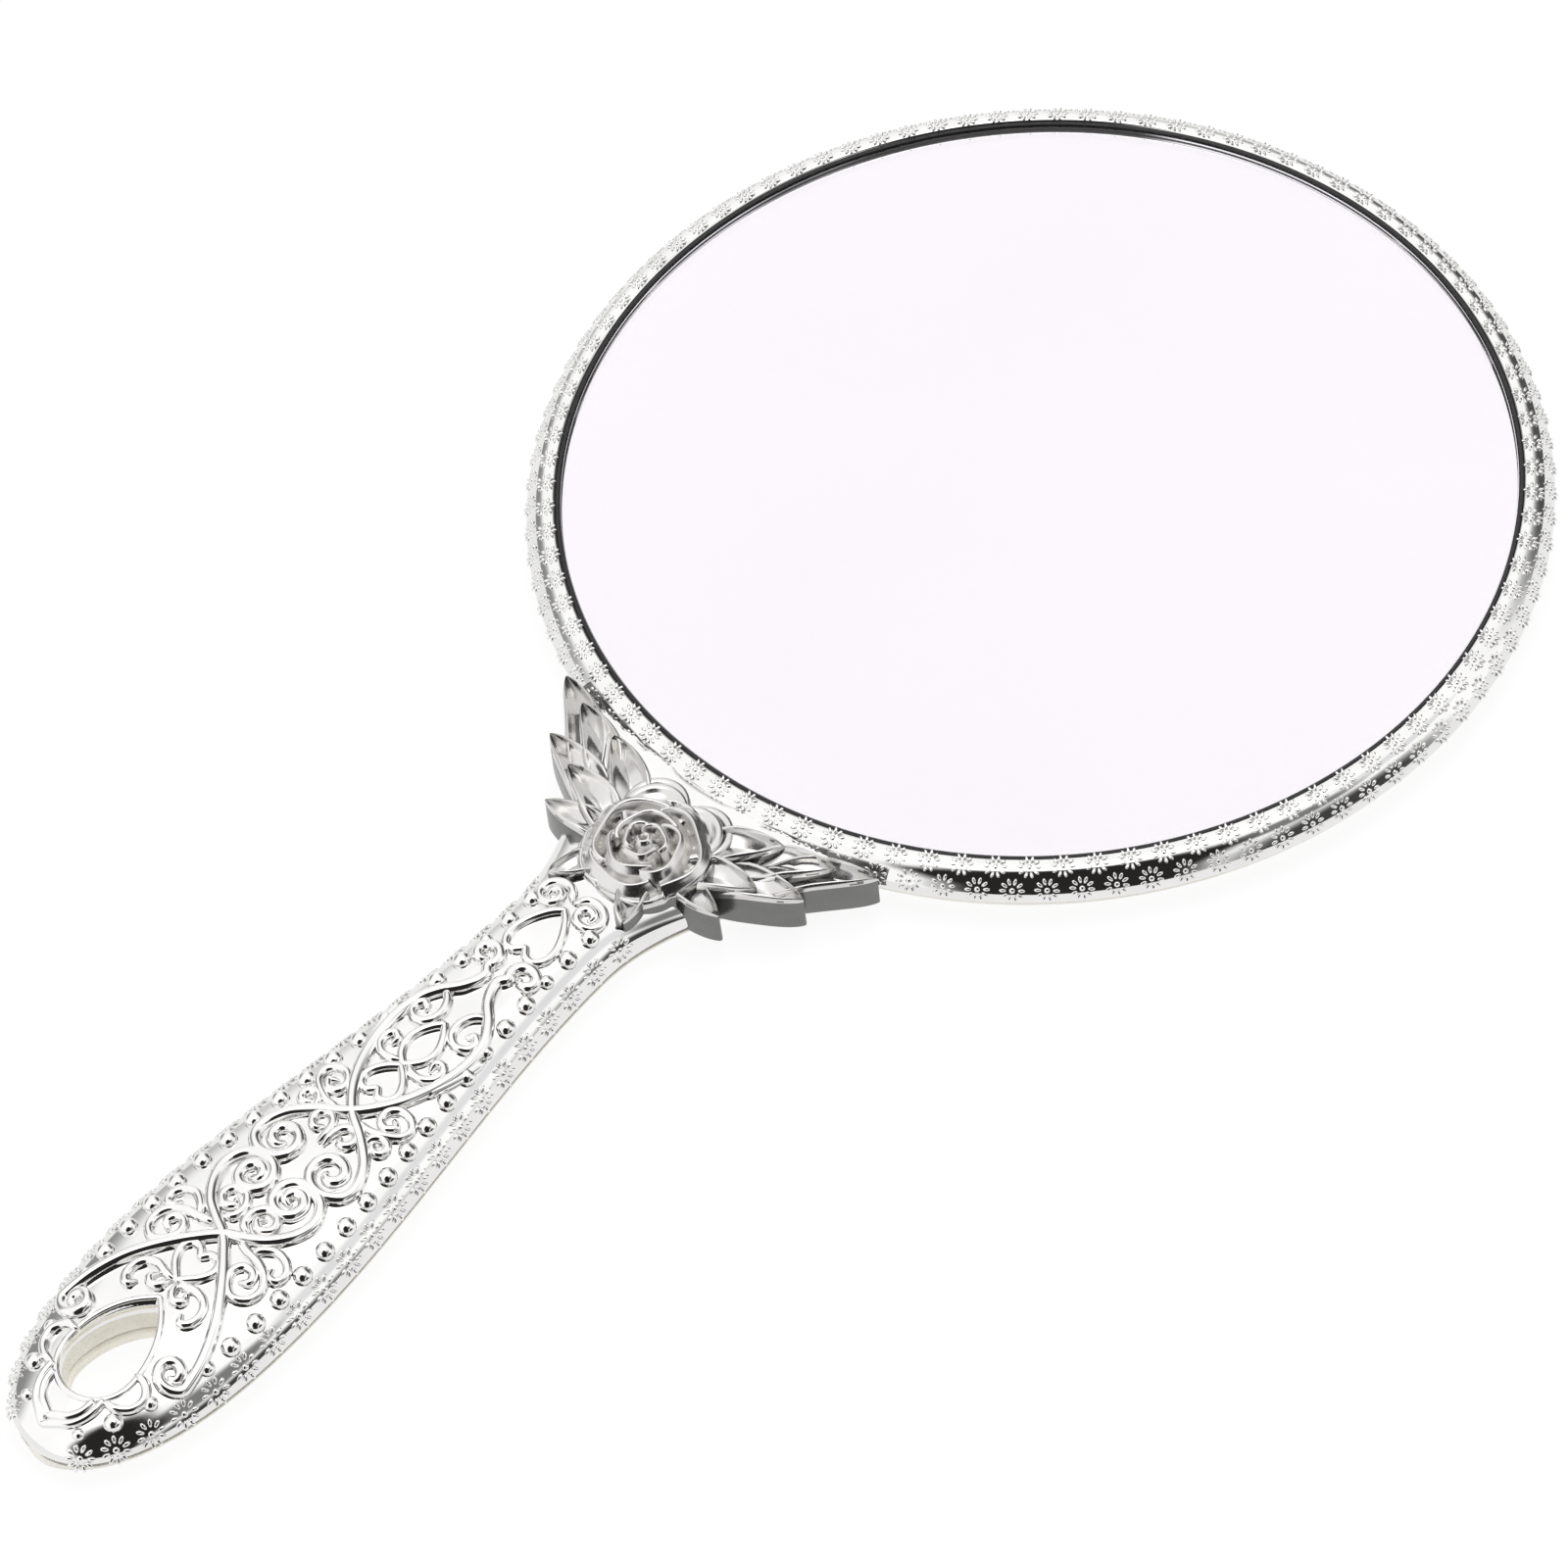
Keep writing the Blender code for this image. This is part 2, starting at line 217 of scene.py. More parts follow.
def add_ridge(bm, points, width, height, closed=False, ends=(0.55, 0.55)):
    """Add a half-round ridge on the handle's face along a curve through points (x, v)."""
    path = curve_through(points, RIDGE_STEP, closed)
    count = len(path)
    loops = []
    for i, (x, v) in enumerate(path):
        if closed:
            before, after = path[i - 1], path[(i + 1) % count]
        else:
            before, after = path[max(0, i - 1)], path[min(count - 1, i + 1)]
        normal = face_normal(x, v)
        along = face_point(*after) - face_point(*before)
        across = normal.cross(along).normalized()
        base = face_point(x, v)
        swell = 1.0
        if not closed:
            reach = width * 1.1
            near = [min(1.0, d * RIDGE_STEP / reach) for d in (i, count - 1 - i)]
            for t, low in zip(near, ends):
                swell *= low + (1 - low) * math.sin(0.5 * math.pi * t)
        half = 0.5 * width * swell
        tall = height * swell
        loop = []
        for k in range(RIDGE_SIDES):
            a = math.pi * k / (RIDGE_SIDES - 1)
            up = tall * math.sin(a) ** 0.85 - 0.02
            loop.append(base + across * (half * math.cos(a)) + normal * up)
        loop.append(base - across * half - normal * RIDGE_ROOT)
        loop.append(base + across * half - normal * RIDGE_ROOT)
        loops.append(loop)
    if closed:
        rows = [[bm.verts.new(p) for p in loop] for loop in loops]
        size = len(rows[0])
        for i in range(count):
            low, high = rows[i], rows[(i + 1) % count]
            for k in range(size):
                m = (k + 1) % size
                bm.faces.new((low[k], low[m], high[m], high[k]))
        return
    first = loops[0][0] - loops[1][0]
    last = loops[-1][0] - loops[-2][0]
    tips = []
    for loop, way in ((loops[0], first), (loops[-1], last)):
        centre = sum(loop, Vector()) / len(loop)
        bulge = []
        for grow, reach in ((0.8, 0.45), (0.4, 0.75)):
            shift = way.normalized() * reach * 0.3 * width
            bulge.append([centre + (p - centre) * grow + shift for p in loop])
        tips.append(bulge)
    add_loft(bm, [tips[0][1], tips[0][0]] + loops + [tips[1][0], tips[1][1]])


def subtract(item, other):
    """Cut one mesh out of another and keep the plain result."""
    step = item.modifiers.new("cut", "BOOLEAN")
    step.operation = "DIFFERENCE"
    step.solver = "EXACT"
    step.object = other
    graph = bpy.context.evaluated_depsgraph_get()
    data = bpy.data.meshes.new_from_object(item.evaluated_get(graph))
    item.modifiers.clear()
    item.data = data
    bpy.data.objects.remove(other, do_unlink=True)


def join(name, items):
    """Join objects into the first, which takes the name."""
    with bpy.context.temp_override(active_object=items[0], selected_editable_objects=items):
        bpy.ops.object.join()
    items[0].name = name
    return items[0]


print("helpers ready")

# %% [markdown]
# ## Materials
#
# The bright plating is a metal with a faint waviness, because it lies on moulded plastic. The rose has a
# grained, satin plating; its upright sides get a darker copy of it, which paints shade on them. Three
# shader groups hold the waviness, the grain and the near-perfect surface of the glass, and each material
# sets its own colour and strength.

# %% Shader groups
NOISE_LOW = 0.3
NOISE_HIGH = 0.7
GRAIN_SHARE = 0.35
RELIEF = 0.1 * MM


def noise(tree, scale, detail, coords):
    node = tree.nodes.new("ShaderNodeTexNoise")
    node.inputs["Scale"].default_value = scale
    node.inputs["Detail"].default_value = detail
    tree.links.new(coords, node.inputs["Vector"])
    return node.outputs["Fac"]


def spread(tree, value, low, high):
    """Stretch a noise value, which stays near 0.5, to a range."""
    node = tree.nodes.new("ShaderNodeMapRange")
    node.inputs["From Min"].default_value = NOISE_LOW
    node.inputs["From Max"].default_value = NOISE_HIGH
    node.inputs["To Min"].default_value = low
    node.inputs["To Max"].default_value = high
    tree.links.new(value, node.inputs["Value"])
    return node.outputs["Result"]


def surface_group(name, coarse, fine, low=0.96, high=1.03):
    """A group with a slightly uneven colour, an uneven roughness and a height for a bump."""
    tree = bpy.data.node_groups.new(name, "ShaderNodeTree")
    for label, kind in (("Colour", "NodeSocketColor"), ("Roughness", "NodeSocketFloat")):
        tree.interface.new_socket(label, in_out="INPUT", socket_type=kind)
    tree.interface.new_socket("Unevenness", in_out="INPUT", socket_type="NodeSocketFloat")
    tree.interface.new_socket("Colour", in_out="OUTPUT", socket_type="NodeSocketColor")
    for label in ("Roughness", "Height"):
        tree.interface.new_socket(label, in_out="OUTPUT", socket_type="NodeSocketFloat")
    start = tree.nodes.new("NodeGroupInput")
    end = tree.nodes.new("NodeGroupOutput")
    coords = tree.nodes.new("ShaderNodeTexCoord").outputs["Object"]
    broad = noise(tree, coarse, 2, coords)
    grain = noise(tree, fine, 3, coords)
    shade = tree.nodes.new("ShaderNodeHueSaturation")
    tree.links.new(start.outputs["Colour"], shade.inputs["Color"])
    tree.links.new(spread(tree, broad, low, high), shade.inputs["Value"])
    tree.links.new(shade.outputs["Color"], end.inputs["Colour"])
    rough = tree.nodes.new("ShaderNodeMath")
    rough.operation = "MULTIPLY"
    tree.links.new(start.outputs["Roughness"], rough.inputs[0])
    tree.links.new(spread(tree, grain, 0.75, 1.3), rough.inputs[1])
    tree.links.new(rough.outputs[0], end.inputs["Roughness"])
    both = tree.nodes.new("ShaderNodeMath")
    both.operation = "MULTIPLY_ADD"
    both.inputs[1].default_value = GRAIN_SHARE
    tree.links.new(grain, both.inputs[0])
    tree.links.new(broad, both.inputs[2])
    height = tree.nodes.new("ShaderNodeMath")
    height.operation = "MULTIPLY"
    tree.links.new(both.outputs[0], height.inputs[0])
    tree.links.new(start.outputs["Unevenness"], height.inputs[1])
    tree.links.new(height.outputs[0], end.inputs["Height"])
    return tree


plating = surface_group("Plating", 160, 900)
grained = surface_group("Grained", 420, 3200)
optical = surface_group("Optical", 12, 60, 0.993, 1.004)


def material(name, group, colour, roughness, unevenness, metallic=0.0, bump=0.2, **constants):
    """A Principled material fed by a surface group; constants go straight on its sockets."""
    mat = bpy.data.materials.new(name)
    mat.use_nodes = True
    tree = mat.node_tree
    shader = tree.nodes["Principled BSDF"]
    node = tree.nodes.new("ShaderNodeGroup")
    node.node_tree = group
    node.inputs["Colour"].default_value = (*colour, 1)
    node.inputs["Roughness"].default_value = roughness
    node.inputs["Unevenness"].default_value = unevenness
    tree.links.new(node.outputs["Colour"], shader.inputs["Base Color"])
    tree.links.new(node.outputs["Roughness"], shader.inputs["Roughness"])
    relief = tree.nodes.new("ShaderNodeBump")
    relief.inputs["Strength"].default_value = bump
    relief.inputs["Distance"].default_value = RELIEF
    tree.links.new(node.outputs["Height"], relief.inputs["Height"])
    tree.links.new(relief.outputs["Normal"], shader.inputs["Normal"])
    shader.inputs["Metallic"].default_value = metallic
    for label, value in constants.items():
        shader.inputs[label.replace("_", " ")].default_value = value
    return mat


CHROME = material("bright_plating", plating, (0.885, 0.88, 0.87), 0.06, 0.5, metallic=1.0, bump=0.12)
SATIN = material("satin_plating", grained, (0.72, 0.71, 0.695), 0.19, 0.35, metallic=1.0, bump=0.12)
# Painted shade: a darker copy of the satin plating, for the ornament's upright sides.
SATIN_PAINTED_SHADE = material("satin_sides_painted_shade", grained, (0.2, 0.2, 0.195), 0.24, 0.3, metallic=1.0, bump=0.05)
IVORY = material("ivory_plastic", grained, (0.96, 0.93, 0.84), 0.32, 0.4, bump=0.1)
GLASS = material(
    "clear_glass", optical, (0.995, 0.985, 0.995), 0.004, 0.0, bump=0.0, Transmission_Weight=1.0, IOR=1.5
)
SILVER = material("silver_coat", optical, (0.90, 0.885, 0.915), 0.01, 0.0, metallic=1.0, bump=0.0)
# The seal is a real ring; its near-black colour also paints the shade of the narrow gap round the glass.
SEAL_BLACK_AND_GAP_SHADE = material("black_seal_and_painted_gap_shade", grained, (0.012, 0.012, 0.013), 0.5, 0.6, bump=0.2)
FOAM = material("white_foam", grained, (0.85, 0.85, 0.83), 0.9, 1.0, bump=0.5)
print("materials", [m.name for m in (CHROME, SATIN, SATIN_PAINTED_SHADE, IVORY, GLASS, SILVER, SEAL_BLACK_AND_GAP_SHADE, FOAM)])

# %% [markdown]
# ## Shells
#
# The rim is turned and the handle is lofted. The hanging hole is cut through both shells with the same
# teardrop. The plating wraps over the hole's edge, and below it the wall shows the bare ivory plastic.

# %% Hanging hole
HOLE_TIP_V = 170.0
HOLE_ROUND_V = 180.1
HOLE_RADIUS = 5.1
PLATED_DOWN_TO = 5.9
PARTING_Z = 2.62


def hole_outline(offset=0.0, arc=14, round_steps=18):
    """The teardrop (x, v): two large flank arcs from the tip, closed by a half circle."""
    reach = HOLE_ROUND_V - HOLE_TIP_V
    flank = (HOLE_RADIUS**2 + reach**2) / (2 * HOLE_RADIUS)
    cx = HOLE_RADIUS - flank
    top = math.acos(-cx / (flank + offset))
    right = []
    for i in range(arc + 1):
        a = top * (1 - i / arc)
        r = flank + offset
        right.append((cx + r * math.cos(a), HOLE_ROUND_V - r * math.sin(a)))
    bottom = []
    for i in range(1, round_steps):
        a = math.pi * i / round_steps
        r = HOLE_RADIUS + offset
        bottom.append((r * math.cos(a), HOLE_ROUND_V + r * math.sin(a)))
    return right + bottom + [(-x, v) for x, v in reversed(right[1:])]


def hole_cutter(levels, coat):
    """The hole as a solid through the given heights, coated above the middle one and ivory below it."""
    bm = bmesh.new()
    add_loft(bm, [[(x, HEAD_Y - v, z) for x, v in hole_outline()] for z in levels])
    cutter = mesh_object("cutter", bm)
    cutter.data.materials.append(coat)
    cutter.data.materials.append(IVORY)
    for face in cutter.data.polygons:
        face.material_index = 1 if face.center.z < levels[1] * MM else 0
    return cutter


# %% Front shell
TURNED_STEPS = 288
RIM = [(68.7, PARTING_Z), (69.4, 2.66), (70.0, 3.2), (70.28, 3.9), (70.28, 4.45), (70.08, 5.0)]
RIM += [(69.75, 5.55), (69.25, 6.25), (68.65, 6.9), (67.95, 7.35), (67.3, 7.56), (66.6, 7.56)]
RIM += [(66.12, 7.4), (66.0, 7.0)]
rim_profile = [tuple(p) for p in curve_through(RIM, 0.22)]
tray_under = [(0, 2.0), (67.75, 2.0), (67.75, PARTING_Z)]
tray_inside = [(66.0, 3.0), (0, 3.0)]
bm = bmesh.new()
add_turned(bm, tray_under + rim_profile + tray_inside, TURNED_STEPS)
rim = mesh_object("rim", bm)


def handle_loop(v, arc=56):
    """One cross-section of the plated handle: tucked in at the parting line, then the face."""
    w = max(0.15, half_width(v))
    y = HEAD_Y - v
    tuck = min(0.6, 0.3 * w)
    side = [(w - tuck, PARTING_Z), (w - 0.9 * tuck, 2.66), (w - 0.4 * tuck, 2.85), (w - 0.1 * tuck, 3.2)]
    loop = [(x, y, z) for x, z in side]
    for i in range(arc + 1):
        a = math.pi * i / arc
        x = w * math.copysign(abs(math.cos(a)) ** (2 / face_power(v)), math.cos(a))
        loop.append((x, y, face_z(x, v)))
    return loop + [(-x, y, z) for x, z in reversed(side)]


ROUNDING_V = 160.0
PITCH = 0.85
END_STOPS = 60
stops = [HANDLE_START + PITCH * i for i in range(int((ROUNDING_V - HANDLE_START) / PITCH))]
for i in range(END_STOPS):
    stops.append(ROUNDING_V + (HANDLE_END - ROUNDING_V) * math.sin(0.5 * math.pi * i / END_STOPS))
stops.append(HANDLE_END - 0.002)
bm = bmesh.new()
add_loft(bm, [handle_loop(v) for v in stops])
handle = mesh_object("handle", bm)
for item in (rim, handle):
    item.data.materials.append(CHROME)
    item.data.materials.append(IVORY)
subtract(handle, hole_cutter([-4, PLATED_DOWN_TO, 14], CHROME))
print("rim faces", len(rim.data.polygons), "handle faces", len(handle.data.polygons))

# %% [markdown]
# ## Scrollwork
#
# The pattern is mirror-symmetric, so each ridge is listed once, as a few points (x, v), and drawn again
# with x reversed. Long vines cross the middle line and end in volutes on the other side.

# %% Scrollwork
def scroll(cx, cv, r_out, r_in, start, stop, count=14):
    """Points on a spiral about a centre, by angle in degrees."""
    points = []
    for i in range(count):
        t = i / (count - 1)
        a = math.radians(start + (stop - start) * t)
        r = r_out + (r_in - r_out) * t**0.8
        points.append((cx + r * math.cos(a), cv + r * math.sin(a)))
    return points


VINES = [
    scroll(3.3, 106.8, 0.5, 2.1, 500, 140)
    + [(1.0, 109.4), (2.0, 112.2), (4.0, 114.4), (5.5, 116.9), (6.1, 120.2), (5.7, 124.6), (4.5, 128.6)]
    + [(2.6, 132.2), (0, 135.1), (-3.6, 137.4), (-6.6, 140.1), (-7.9, 143.2)]
    + scroll(-4.3, 143.4, 3.6, 0.7, 150, -330),
    [(3.3, 150.0), (2.4, 149.6), (2.6, 148.4), (4.0, 148.1), (5.0, 149.3), (4.6, 151.0), (3.1, 151.7)]
    + [(1.4, 151.0), (0.8, 149.2), (1.7, 147.4), (3.8, 146.6), (6.2, 147.4), (7.5, 149.8), (7.0, 152.6)]
    + [(4.9, 155.5), (2.5, 157.0), (0, 158.3), (-2.6, 160.8), (-5.3, 164.0), (-7.9, 167.8)]
    + [(-9.7, 172.0), (-10.4, 175.4)]
    + scroll(-8.2, 175.8, 2.3, 0.7, 165, -250),
]
BRANCHES = [
    scroll(2.95, 94.5, 2.8, 0.55, 195, 740),
    [(3.9, 113.9), (2.3, 115.1), (1.5, 117.0), (1.9, 118.9), (3.4, 119.8), (4.8, 119.1), (5.0, 117.8)]
    + [(4.2, 117.1), (3.5, 117.8)],
    [(7.1, 118.4), (7.0, 120.6), (6.6, 123.2), (5.9, 125.8), (5.1, 128.0)],
    [(0.4, 125.4), (1.8, 126.2), (3.3, 126.2), (4.5, 125.3), (4.8, 123.9), (4.1, 122.9), (3.2, 123.4)]
    + [(3.4, 124.4)],
    [(1.2, 135.8), (3.4, 135.9), (5.4, 135.2), (7.0, 134.0), (7.4, 132.4), (6.3, 131.2), (4.6, 131.2)]
    + [(3.5, 132.4), (3.7, 133.9), (5.0, 134.3), (5.8, 133.3), (4.9, 132.7)],
    scroll(6.0, 136.9, 1.7, 0.5, 150, 590, 10),
    [(0.4, 140.8), (0.35, 139.0), (0.9, 137.6), (2.1, 137.0), (3.2, 137.7), (3.2, 139.0), (2.2, 139.7)]
    + [(1.5, 138.9)],
    [(2.4, 156.3), (0.9, 155.5), (0.7, 153.6), (2.0, 152.1), (3.8, 152.5), (4.3, 154.0), (3.0, 155.0)]
    + [(1.9, 154.2), (2.5, 153.4)],
    [(1.8, 157.4), (3.9, 158.1), (6.2, 158.4), (8.1, 159.4), (9.0, 161.2), (8.5, 163.0), (6.9, 163.9)]
    + [(5.3, 163.0), (4.5, 161.3), (5.2, 159.9), (6.6, 159.8), (7.2, 161.0), (6.3, 161.8)],
    [(4.4, 158.0), (5.6, 156.6), (7.2, 155.8), (8.8, 156.2), (9.7, 157.5), (9.3, 158.9), (8.3, 158.9)]
    + [(8.0, 157.9)],
    [(0.1, 166.6), (1.6, 166.6), (3.4, 166.2), (5.0, 166.8), (5.8, 168.4), (5.5, 170.0), (4.6, 170.6)]
    + [(4.0, 169.7)],
    [(0.6, 166.9), (1.1, 168.4), (2.1, 168.9), (2.9, 168.2), (2.5, 167.3)],
    [(5.3, 178.8), (6.8, 179.0), (7.9, 180.4), (7.6, 182.2), (6.2, 183.5), (4.5, 183.9)],
]
HEARTS = [
    [(0, 95.5), (1.3, 96.8), (2.6, 98.9), (3.35, 101.1), (3.25, 103.0), (2.3, 104.2), (1.0, 104.1)]
    + [(0, 103.0)],
    [(0, 118.1), (1.2, 119.6), (2.1, 121.6), (2.1, 123.3), (1.3, 124.8), (0, 125.9)],
    [(0, 126.2), (1.3, 127.2), (2.4, 128.6), (2.8, 130.0), (2.2, 131.2), (1.0, 131.5), (0, 130.5)],
    [(0, 162.3), (0.9, 161.3), (2.2, 161.3), (2.9, 162.7), (2.3, 164.3), (1.1, 165.6), (0, 166.6)],
    [(4.4, 183.9), (4.2, 186.0), (3.2, 188.0), (1.4, 189.3), (0, 190.2)],
    [(3.5, 184.7), (3.2, 186.4), (2.2, 187.8), (1.0, 188.5), (0, 189.0)],
]
bm = bmesh.new()
for side in (1, -1):
    for points in VINES:
        add_ridge(bm, [(side * x, v) for x, v in points], width=1.8, height=1.3)
    for points in BRANCHES:
        add_ridge(bm, [(side * x, v) for x, v in points], width=1.4, height=1.1)
    for points in HEARTS:
        add_ridge(bm, [(side * x, v) for x, v in points], width=1.3, height=0.9, ends=(0.9, 0.9))
add_ridge(bm, hole_outline(0.42), width=0.8, height=0.35, closed=True)
ridges = mesh_object("ridges", bm, 60)
ridges.data.materials.append(CHROME)
print("scrollwork faces", len(ridges.data.polygons))

# %% [markdown]
# ## Flowers and beads
#
# Two rows of daisies run round the rim, staggered by half a step, and one row runs down each edge of the
# handle. One Geometry Nodes tree builds a daisy from a ring of petals and stamps it on points that carry a
# size and the direction the surface faces there. A second tree stamps the beads.

# %% Stamping with Geometry Nodes
def stamp_points(name, places):
    """A mesh of loose points with the surface direction and a size at each."""
    data = bpy.data.meshes.new(name)
    data.from_pydata([Vector(p) * MM for p, n, size in places], [], [])
    facing = data.attributes.new("facing", "FLOAT_VECTOR", "POINT")
    facing.data.foreach_set("vector", [c for p, n, size in places for c in n])
    sizes = data.attributes.new("size", "FLOAT", "POINT")
    sizes.data.foreach_set("value", [size for p, n, size in places])
    item = bpy.data.objects.new(name, data)
    bpy.context.scene.collection.objects.link(item)
    return item


def dome(tree, radius, scale, segments, rings):
    """A small stretched ball, with its radius in millimetres."""
    ball = tree.nodes.new("GeometryNodeMeshUVSphere")
    ball.inputs["Segments"].default_value = segments
    ball.inputs["Rings"].default_value = rings
    ball.inputs["Radius"].default_value = radius * MM
    move = tree.nodes.new("GeometryNodeTransform")
    move.inputs["Scale"].default_value = scale
    tree.links.new(ball.outputs["Mesh"], move.inputs["Geometry"])
    return move.outputs["Geometry"]


def stamp_tree(name, petals):
    """Set a stamp on every point, turned to face outward: a daisy if it has petals, otherwise a bead."""
    tree = bpy.data.node_groups.new(name, "GeometryNodeTree")
    tree.interface.new_socket("Points", in_out="INPUT", socket_type="NodeSocketGeometry")
    tree.interface.new_socket("Petals", in_out="INPUT", socket_type="NodeSocketInt")
    tree.interface.new_socket("Ring radius", in_out="INPUT", socket_type="NodeSocketFloat")
    tree.interface.new_socket("Material", in_out="INPUT", socket_type="NodeSocketMaterial")
    tree.interface.new_socket("Stamps", in_out="OUTPUT", socket_type="NodeSocketGeometry")
    start = tree.nodes.new("NodeGroupInput")
    end = tree.nodes.new("NodeGroupOutput")
    link = tree.links.new
    whole = tree.nodes.new("GeometryNodeJoinGeometry")
    if petals:
        ring = tree.nodes.new("GeometryNodeMeshCircle")
        link(start.outputs["Petals"], ring.inputs["Vertices"])
        link(start.outputs["Ring radius"], ring.inputs["Radius"])
        aim = tree.nodes.new("FunctionNodeAlignRotationToVector")
        aim.axis = "X"
        link(tree.nodes.new("GeometryNodeInputPosition").outputs[0], aim.inputs["Vector"])
        each = tree.nodes.new("GeometryNodeInstanceOnPoints")
        link(ring.outputs["Mesh"], each.inputs["Points"])
        link(dome(tree, 0.3, (1.75, 0.84, 0.5), 8, 5), each.inputs["Instance"])
        link(aim.outputs["Rotation"], each.inputs["Rotation"])
        link(each.outputs["Instances"], whole.inputs[0])
        link(dome(tree, 0.42, (1, 1, 0.5), 9, 5), whole.inputs[0])
    else:
        link(dome(tree, 1.0, (1, 1, 0.92), 24, 14), whole.inputs[0])
    facing = tree.nodes.new("GeometryNodeInputNamedAttribute")
    facing.data_type = "FLOAT_VECTOR"
    facing.inputs["Name"].default_value = "facing"
    size = tree.nodes.new("GeometryNodeInputNamedAttribute")
    size.inputs["Name"].default_value = "size"
    outward = tree.nodes.new("FunctionNodeAlignRotationToVector")
    outward.axis = "Z"
    link(facing.outputs["Attribute"], outward.inputs["Vector"])
    stamp = tree.nodes.new("GeometryNodeInstanceOnPoints")
    link(start.outputs["Points"], stamp.inputs["Points"])
    link(whole.outputs[0], stamp.inputs["Instance"])
    link(outward.outputs["Rotation"], stamp.inputs["Rotation"])
    link(size.outputs["Attribute"], stamp.inputs["Scale"])
    real = tree.nodes.new("GeometryNodeRealizeInstances")
    link(stamp.outputs["Instances"], real.inputs["Geometry"])
    coat = tree.nodes.new("GeometryNodeSetMaterial")
    link(real.outputs["Geometry"], coat.inputs["Geometry"])
    link(start.outputs["Material"], coat.inputs["Material"])
    link(coat.outputs["Geometry"], end.inputs["Stamps"])
    return tree


def stamped(item, tree, **values):
    """Run a tree on a point object and leave a plain mesh."""
    step = item.modifiers.new("stamps", "NODES")
    step.node_group = tree
    for socket in tree.interface.items_tree:
        if socket.in_out == "INPUT" and socket.name in values:
            step[socket.identifier] = values[socket.name]
    graph = bpy.context.evaluated_depsgraph_get()
    data = bpy.data.meshes.new_from_object(item.evaluated_get(graph))
    item.modifiers.clear()
    item.data = data
    data.shade_smooth()
    return item


def rim_place(angle, depth, size):
    """A place on the rim, by its angle from the handle's line and its share of the way up the profile."""
    i = depth * (len(rim_profile) - 1)
    k = min(len(rim_profile) - 2, int(i))
    (r0, z0), (r1, z1) = rim_profile[k], rim_profile[k + 1]
    r = r0 + (r1 - r0) * (i - k)
    z = z0 + (z1 - z0) * (i - k)
    out = Vector((z1 - z0, -(r1 - r0))).normalized()
    spot = (r * math.sin(angle), HEAD_Y - r * math.cos(angle), z)
    return spot, (out.x * math.sin(angle), -out.x * math.cos(angle), out.y), size


RIM_FLOWERS = 97
STEP = 2 * math.pi / RIM_FLOWERS
FIRST_ANGLE = math.radians(1.45)
INNER_ROW = 0.80
OUTER_ROW = 0.45
places = []
for i in range(RIM_FLOWERS):
    angle = FIRST_ANGLE + STEP * i
    places.append(rim_place(angle, INNER_ROW, 0.9))
    places.append(rim_place(angle + 0.5 * STEP, OUTER_ROW, 0.95))


def edge_place(v, turn, side, size):
    """A place on the handle's rounded edge, by its angle up from the widest line."""
    x = half_width(v) * math.cos(turn) ** (2 / face_power(v))
    normal = face_normal(x, v)
    spot = face_point(x, v)
    return (side * spot.x, spot.y, spot.z), (side * normal.x, normal.y, normal.z), size


def edge_stops(first, last, pitch):
    """Distances v that are evenly spaced along the handle's outline."""
    stops = [first]
    v = first
    gone = 0.0
    step = 0.02
    while v < last:
        gone += math.hypot(step, half_width(v + step) - half_width(v))
        v += step
        if gone >= pitch:
            gone = 0.0
            stops.append(v)
    return stops


EDGE_FLOWER_PITCH = 4.68
EDGE_FLOWER_TURN = math.radians(19)
for side in (1, -1):
    for v in edge_stops(94.2, 191.6, EDGE_FLOWER_PITCH):
        places.append(edge_place(v, EDGE_FLOWER_TURN, side, 1.1))
flowers = stamp_points("rim_flowers", places)
daisy_values = {"Petals": 10, "Ring radius": 1.28 * MM, "Material": CHROME}
stamped(flowers, stamp_tree("Daisies", True), **daisy_values)

BEADS = 18
BEAD_FIRST_V = 96.4
BEAD_PITCH = 4.24
BEAD_INSET = 3.25
BEAD_RADIUS = 1.32
SMALL_BEADS = {2: 1.0, 5: 1.0}
beads_at = []
for i in range(BEADS):
    v = BEAD_FIRST_V + BEAD_PITCH * i
    beads_at.append((half_width(v) - BEAD_INSET, v, SMALL_BEADS.get(i, BEAD_RADIUS)))
beads_at += [(10.7, 172.4, 1.05), (8.7, 180.2, 1.0), (6.9, 184.9, 1.25), (4.5, 188.6, 0.85)]
bead_places = []
for side in (1, -1):
    for x, v, size in beads_at:
        bead_places.append((face_point(side * x, v), face_normal(side * x, v), size))
beads = stamp_points("beads", bead_places)
stamped(beads, stamp_tree("Beads", False), Material=CHROME)
front = join("front_shell_face", [handle, rim, ridges, beads])
print("daisies", len(places), "with", len(flowers.data.polygons), "faces")
print("front shell faces", len(front.data.polygons))

# %% [markdown]
# ## Back shell
#
# The back is plain: a shallow dish and the back of the handle, flat with round sides. From the front it
# shows only as a thin pale edge.

# %% Back shell
BACK_TOP = 2.35
BACK = [(65.0, 0.0), (66.8, 0.12), (68.1, 0.55), (68.9, 1.2), (69.15, 1.9), (69.1, 2.3), (68.8, BACK_TOP)]
back_edge = [tuple(p) for p in curve_through(BACK, 0.25)]
dish_inside = [(68.05, BACK_TOP), (68.05, 1.4), (0, 1.4)]
bm = bmesh.new()
add_turned(bm, [(0, 0.0), (60.0, 0.0)] + back_edge + dish_inside, TURNED_STEPS)
dish = mesh_object("dish", bm)


